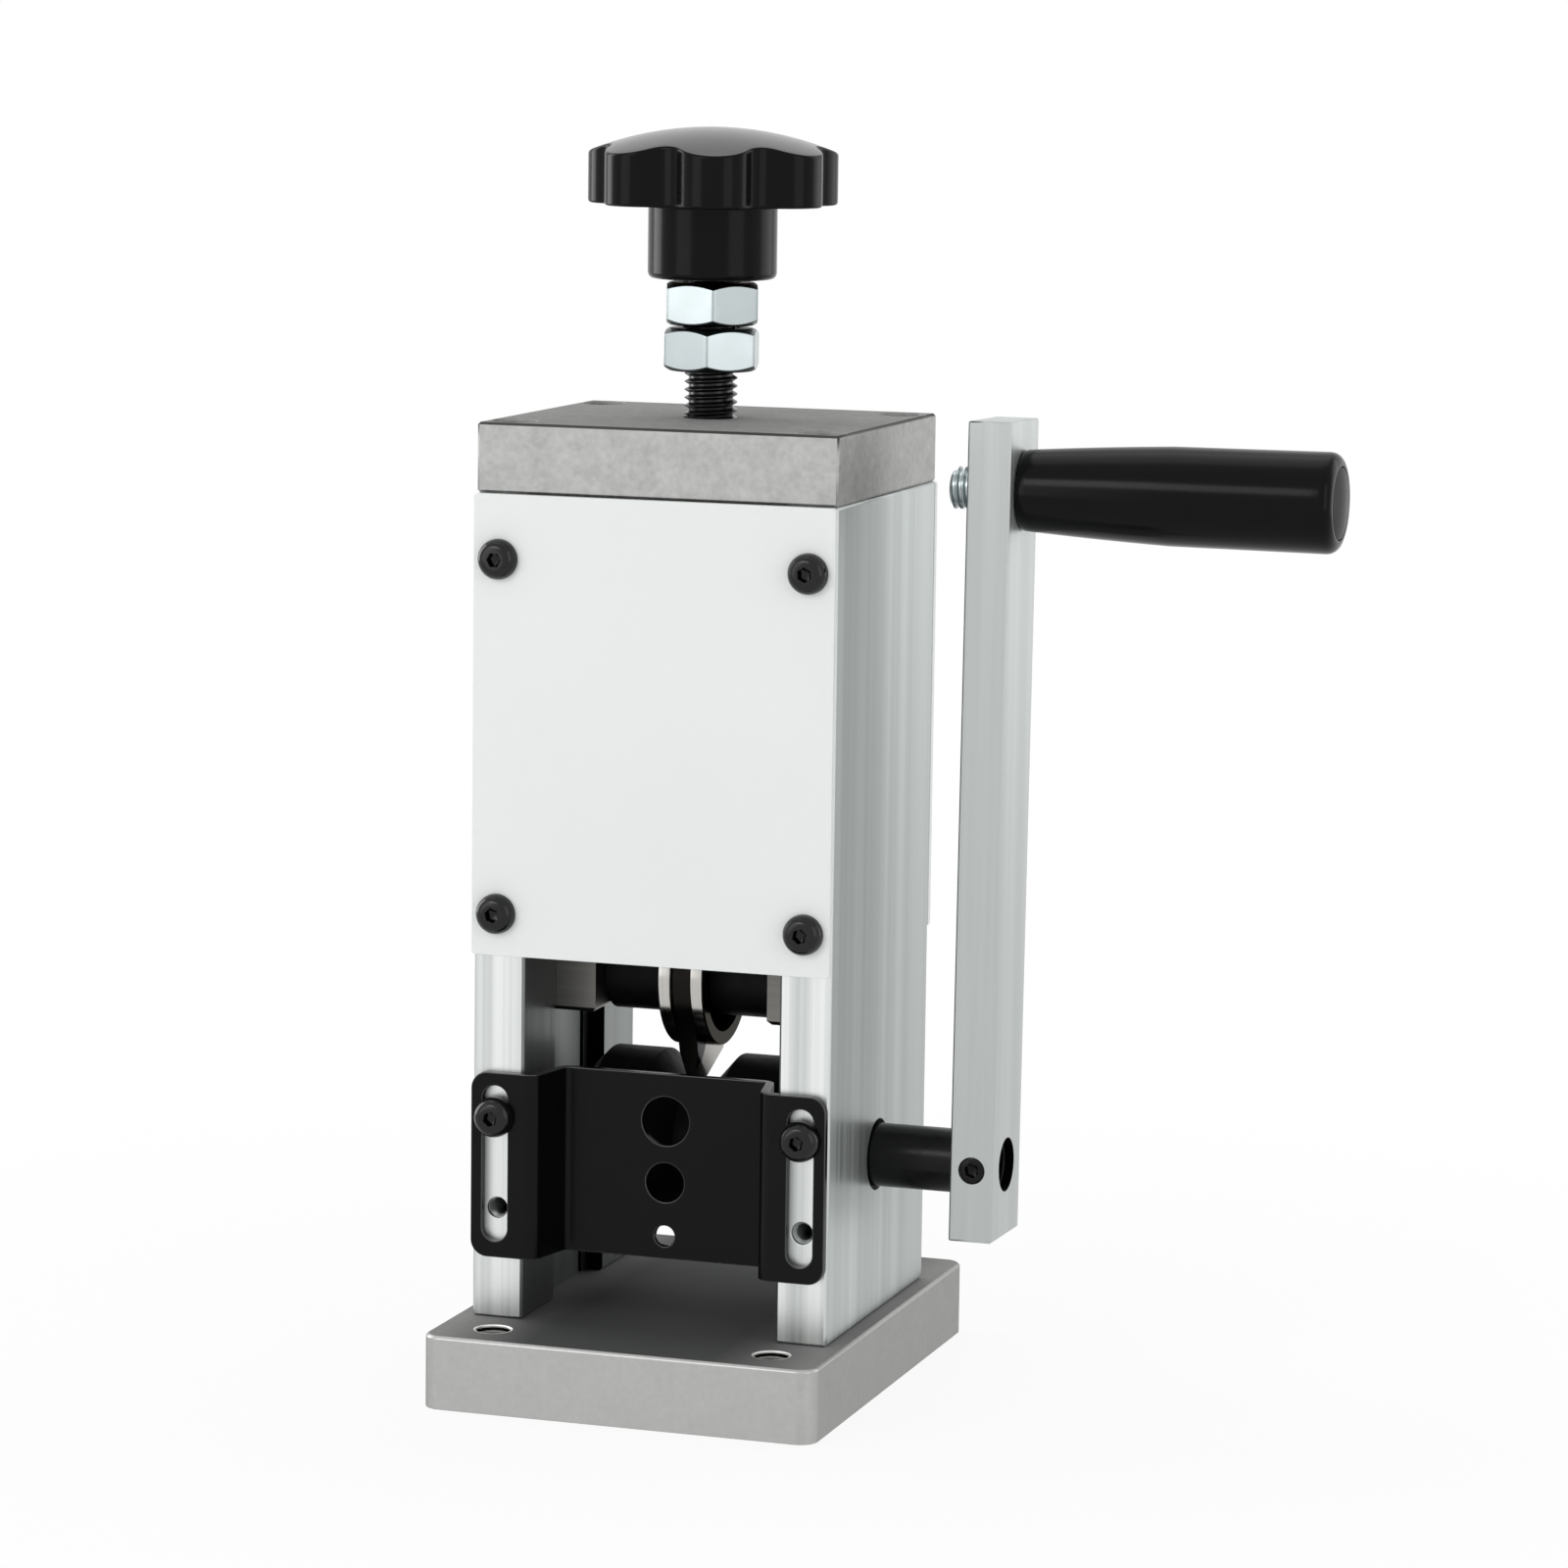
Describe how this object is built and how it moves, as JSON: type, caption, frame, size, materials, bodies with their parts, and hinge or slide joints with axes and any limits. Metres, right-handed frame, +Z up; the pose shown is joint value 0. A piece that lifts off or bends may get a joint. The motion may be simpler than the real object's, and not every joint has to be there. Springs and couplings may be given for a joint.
{
  "type": "manual wire stripping machine",
  "caption": "Hand-cranked wire stripping machine: a square metal column on a base plate, with grooved feed wheels, a hooked knife set by a star knob, and a crank at the side.",
  "frame": {"origin": "middle of the base plate's underside", "axes": "+Z up, +X to the side that carries the crank, +Y to the back, where the stripped cable leaves"},
  "size_m": [0.1587, 0.096, 0.2362],
  "materials": {
    "blasted_steel": "bead blasted, matte",
    "extruded_aluminium": "extruded, satin with lengthwise die lines",
    "white_sheet": "satin white coating",
    "black_oxide_steel": "black oxide",
    "black_coated_sheet": "satin black coating",
    "zinc_plated_steel": "bright zinc plating",
    "ground_steel": "ground and polished",
    "machined_steel": "machined, matte",
    "bronze": "sintered bronze",
    "brass": "turned brass",
    "black_plastic": "moulded, glossy"
  },
  "bodies": {
    "frame": {"base_plate": "blasted_steel", "base_screws": "black_oxide_steel", "right_side_plate": "extruded_aluminium", "left_side_plate": "extruded_aluminium", "top_block": "blasted_steel", "top_block_screws": "black_oxide_steel", "front_cover": "white_sheet", "rear_cover": "white_sheet", "front_cover_screws": "black_oxide_steel", "rear_cover_screws": "black_oxide_steel", "right_bush": "bronze", "left_bush": "bronze", "guide_screws": "black_oxide_steel"},
    "guide": {"guide_plate": "black_coated_sheet"},
    "crank": {"drive_shaft": "black_oxide_steel", "right_feed_wheel": "black_oxide_steel", "left_feed_wheel": "black_oxide_steel", "groove_ring": "black_oxide_steel", "wheel_grub_screws": "black_oxide_steel", "right_spacer": "black_oxide_steel", "left_spacer": "black_oxide_steel", "crank_arm": "extruded_aluminium", "crank_grub_screw": "black_oxide_steel", "handle_stud": "zinc_plated_steel"},
    "grip": {"handle_grip": "black_plastic", "handle_cap": "black_plastic"},
    "carriage": {"blade_carriage": "machined_steel", "axle_grub_screws": "black_oxide_steel", "knife_axle": "ground_steel", "right_knife_sleeve": "black_oxide_steel", "left_knife_sleeve": "black_oxide_steel", "right_knife_disc": "ground_steel", "left_knife_disc": "ground_steel", "knife": "ground_steel", "knife_pins": "ground_steel", "thrust_washer": "zinc_plated_steel"},
    "screw": {"adjusting_screw": "black_oxide_steel", "retaining_ring": "black_oxide_steel", "knob_lock_nut": "zinc_plated_steel", "star_knob": "black_plastic", "knob_insert": "brass"},
    "lock_nut": {"depth_lock_nut": "zinc_plated_steel"}
  },
  "joints": [
    {"name": "crank_turn", "type": "hinge", "parent": "frame", "child": "crank", "pos_m": [0, 0, 0.0445], "axis": [1, 0, 0], "continuous": true},
    {"name": "grip_spin", "type": "hinge", "parent": "crank", "child": "grip", "pos_m": [0.09, 0.00309, 0.17076], "axis": [1, 0, 0], "continuous": true},
    {"name": "guide_slide", "type": "slide", "parent": "frame", "child": "guide", "axis": [0, 0, 1], "range_m": [-0.0035, 0.021]},
    {"name": "carriage_slide", "type": "slide", "parent": "frame", "child": "carriage", "axis": [0, 0, 1], "range_m": [-0.0006, 0.02]},
    {"name": "knob_turn", "type": "hinge", "parent": "carriage", "child": "screw", "pos_m": [0, 0, 0.2], "axis": [0, 0, 1], "range_deg": [-145, 4801]},
    {"name": "lock_nut_travel", "type": "slide", "parent": "screw", "child": "lock_nut", "axis": [0, 0, 1], "range_m": [-0.0078, 0.0004]}
  ],
  "couplings": [
    {"joint": "knob_turn", "follows": "carriage_slide", "rad_per_m": 4188.8}
  ]
}
